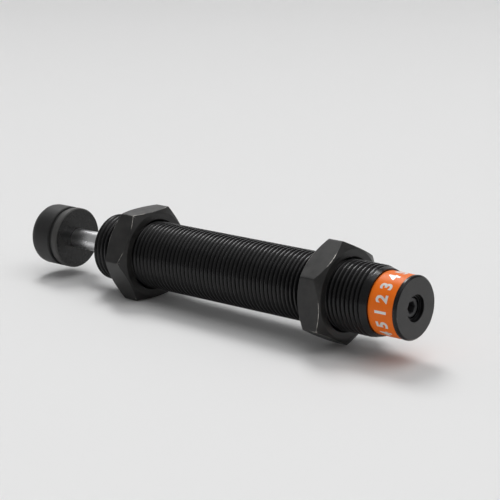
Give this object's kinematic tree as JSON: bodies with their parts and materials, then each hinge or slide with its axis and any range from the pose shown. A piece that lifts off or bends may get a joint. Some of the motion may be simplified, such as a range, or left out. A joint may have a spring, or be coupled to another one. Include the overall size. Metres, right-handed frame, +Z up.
{
  "type": "industrial shock absorber",
  "caption": "Hydraulic shock absorber with a threaded round body, hexagonal lock nuts, and a sprung rod with a round bumper cap that slides into the body.",
  "frame": {"origin": "centre of the front face of the threaded body, on the body's axis", "axes": "+X along the rod towards the bumper, +Z up with the front nut lying on a flat"},
  "size_m": [0.1411, 0.03, 0.03],
  "materials": {
    "body_steel": "satin",
    "nut_steel": "satin",
    "screw_steel": "satin",
    "inner_steel": "satin",
    "spring_steel": "satin",
    "rod_chrome": "polished",
    "hub_steel": "satin",
    "bumper_plastic": "satin",
    "band_film": "satin",
    "bush_bronze": "satin",
    "cell_foam": "matte",
    "seal_rubber": "matte",
    "backup_plastic": "satin"
  },
  "bodies": {
    "housing": {"outer_body": "body_steel", "size_band": "band_film", "fill_screw": "screw_steel", "fill_ball": "inner_steel", "pressure_tube": "inner_steel", "return_spring": "spring_steel", "rod_bearing": "inner_steel", "rear_bush": "bush_bronze", "accumulator_foam": "cell_foam", "gland": "inner_steel", "gland_o_ring": "seal_rubber", "rod_seal": "seal_rubber", "seal_backup_ring": "backup_plastic", "front_guide": "inner_steel", "front_bush": "bush_bronze", "rod_wiper": "seal_rubber", "retaining_ring": "inner_steel"},
    "spring_guide": {"spring_seat": "inner_steel"},
    "rod": {"piston_rod": "rod_chrome", "piston": "inner_steel", "piston_nut": "inner_steel", "cap_hub": "hub_steel", "bumper_cap": "bumper_plastic"},
    "check_valve": {"check_ring": "inner_steel"},
    "front_lock_nut": {"front_nut": "nut_steel"},
    "rear_lock_nut": {"rear_nut": "nut_steel"}
  },
  "joints": [
    {"name": "rod_stroke", "type": "slide", "parent": "housing", "child": "spring_guide", "axis": [-1, 0, 0], "range_m": [0, 0.016], "stiffness_N_per_m": 800, "springref_m": -0.01, "deforming": ["return_spring"]},
    {"name": "rod_spin", "type": "hinge", "parent": "spring_guide", "child": "rod", "pos_m": [0, 0, 0], "axis": [1, 0, 0], "continuous": true},
    {"name": "check_ring_float", "type": "slide", "parent": "rod", "child": "check_valve", "axis": [-1, 0, 0], "range_m": [0, 0.00046]},
    {"name": "front_nut_travel", "type": "slide", "parent": "housing", "child": "front_lock_nut", "axis": [1, 0, 0], "range_m": [-0.03235, 0.0083]},
    {"name": "rear_nut_travel", "type": "slide", "parent": "housing", "child": "rear_lock_nut", "axis": [1, 0, 0], "range_m": [-0.0104, 0.03235]}
  ]
}
